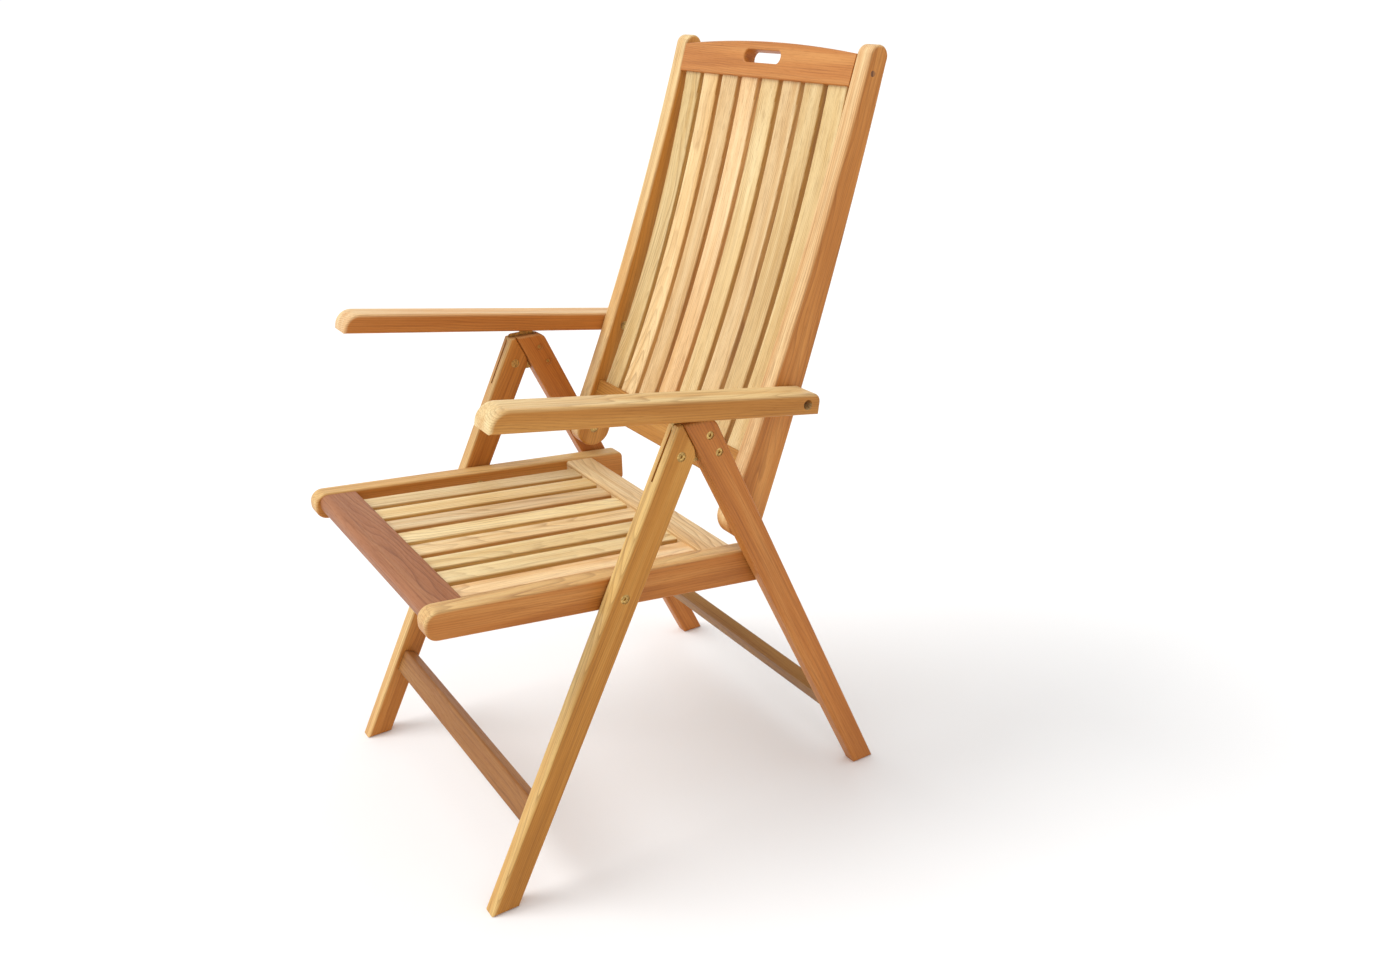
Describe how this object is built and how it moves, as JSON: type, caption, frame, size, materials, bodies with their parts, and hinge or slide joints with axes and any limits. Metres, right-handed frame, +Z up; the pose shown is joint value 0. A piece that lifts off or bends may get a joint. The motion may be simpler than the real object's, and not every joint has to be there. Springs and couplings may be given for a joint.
{
  "type": "folding reclining armchair",
  "caption": "Wooden garden armchair with slatted seat and high slatted back; legs fold together, the back reclines on notched arms.",
  "frame": {"origin": "on the floor, under the middle of the chair's bounding box", "axes": "+Z up, -Y towards the front, +X towards the sitter's left"},
  "size_m": [0.586, 0.711, 1.091],
  "materials": {
    "leg_wood": "oiled hardwood",
    "seat_wood": "oiled hardwood",
    "seat_front_wood": "oiled hardwood, redder",
    "back_wood": "oiled hardwood",
    "arm_wood": "oiled hardwood",
    "plug_wood": "dark end grain",
    "brass": "aged brass"
  },
  "bodies": {
    "rear_frame": {"rear_leg_left": "leg_wood", "rear_leg_right": "leg_wood", "rear_stretcher": "leg_wood", "hinge_plate_left": "brass", "hinge_plate_right": "brass", "hinge_plate_screws": "brass", "back_pivot_bolts": "brass"},
    "front_frame": {"front_leg_left": "leg_wood", "front_leg_right": "leg_wood", "front_stretcher": "leg_wood", "leg_pivot_bolts": "brass", "seat_pivot_bolts": "brass", "seat_pivot_washers": "brass"},
    "seat": {"seat_rail_left": "seat_wood", "seat_rail_right": "seat_wood", "seat_front_rail": "seat_front_wood", "seat_rear_rail": "seat_wood", "seat_slat_1": "seat_wood", "seat_slat_2": "seat_wood", "seat_slat_3": "seat_wood", "seat_slat_4": "seat_wood", "seat_slat_5": "seat_wood", "seat_slat_6": "seat_wood", "seat_slat_7": "seat_wood", "seat_slat_8": "seat_wood", "seat_guide_pins": "brass"},
    "backrest": {"back_stile_left": "back_wood", "back_stile_right": "back_wood", "back_crest_rail": "back_wood", "back_bottom_rail": "back_wood", "back_slat_1": "back_wood", "back_slat_2": "back_wood", "back_slat_3": "back_wood", "back_slat_4": "back_wood", "back_slat_5": "back_wood", "back_slat_6": "back_wood", "back_slat_7": "back_wood", "back_slat_8": "back_wood", "crest_plugs": "plug_wood"},
    "arm_left": {"arm_left": "arm_wood", "arm_rack_left": "brass", "arm_bolt_left": "brass"},
    "arm_right": {"arm_right": "arm_wood", "arm_rack_right": "brass", "arm_bolt_right": "brass"}
  },
  "joints": [
    {"name": "fold", "type": "hinge", "parent": "rear_frame", "child": "front_frame", "pos_m": [0, 0.0025, 0.6002], "axis": [1, 0, 0], "range_deg": [0, 51]},
    {"name": "seat_fold", "type": "hinge", "parent": "front_frame", "child": "seat", "pos_m": [0, -0.0912, 0.4196], "axis": [-1, 0, 0], "range_deg": [0, 99.5]},
    {"name": "recline", "type": "hinge", "parent": "rear_frame", "child": "backrest", "pos_m": [0, 0.1225, 0.472], "axis": [-1, 0, 0], "range_deg": [0, 42.6]},
    {"name": "arm_tilt_left", "type": "hinge", "parent": "backrest", "child": "arm_left", "pos_m": [0.2675, 0.1905, 0.63982], "axis": [1, 0, 0], "range_deg": [0, 26.04]},
    {"name": "arm_tilt_right", "type": "hinge", "parent": "backrest", "child": "arm_right", "pos_m": [-0.2675, 0.1905, 0.63982], "axis": [1, 0, 0], "range_deg": [0, 26.04]}
  ],
  "couplings": [
    {"joint": "seat_fold", "follows": "fold", "ratio": 1.95},
    {"joint": "arm_tilt_left", "follows": "recline", "ratio": 0.61},
    {"joint": "arm_tilt_right", "follows": "recline", "ratio": 0.61}
  ]
}
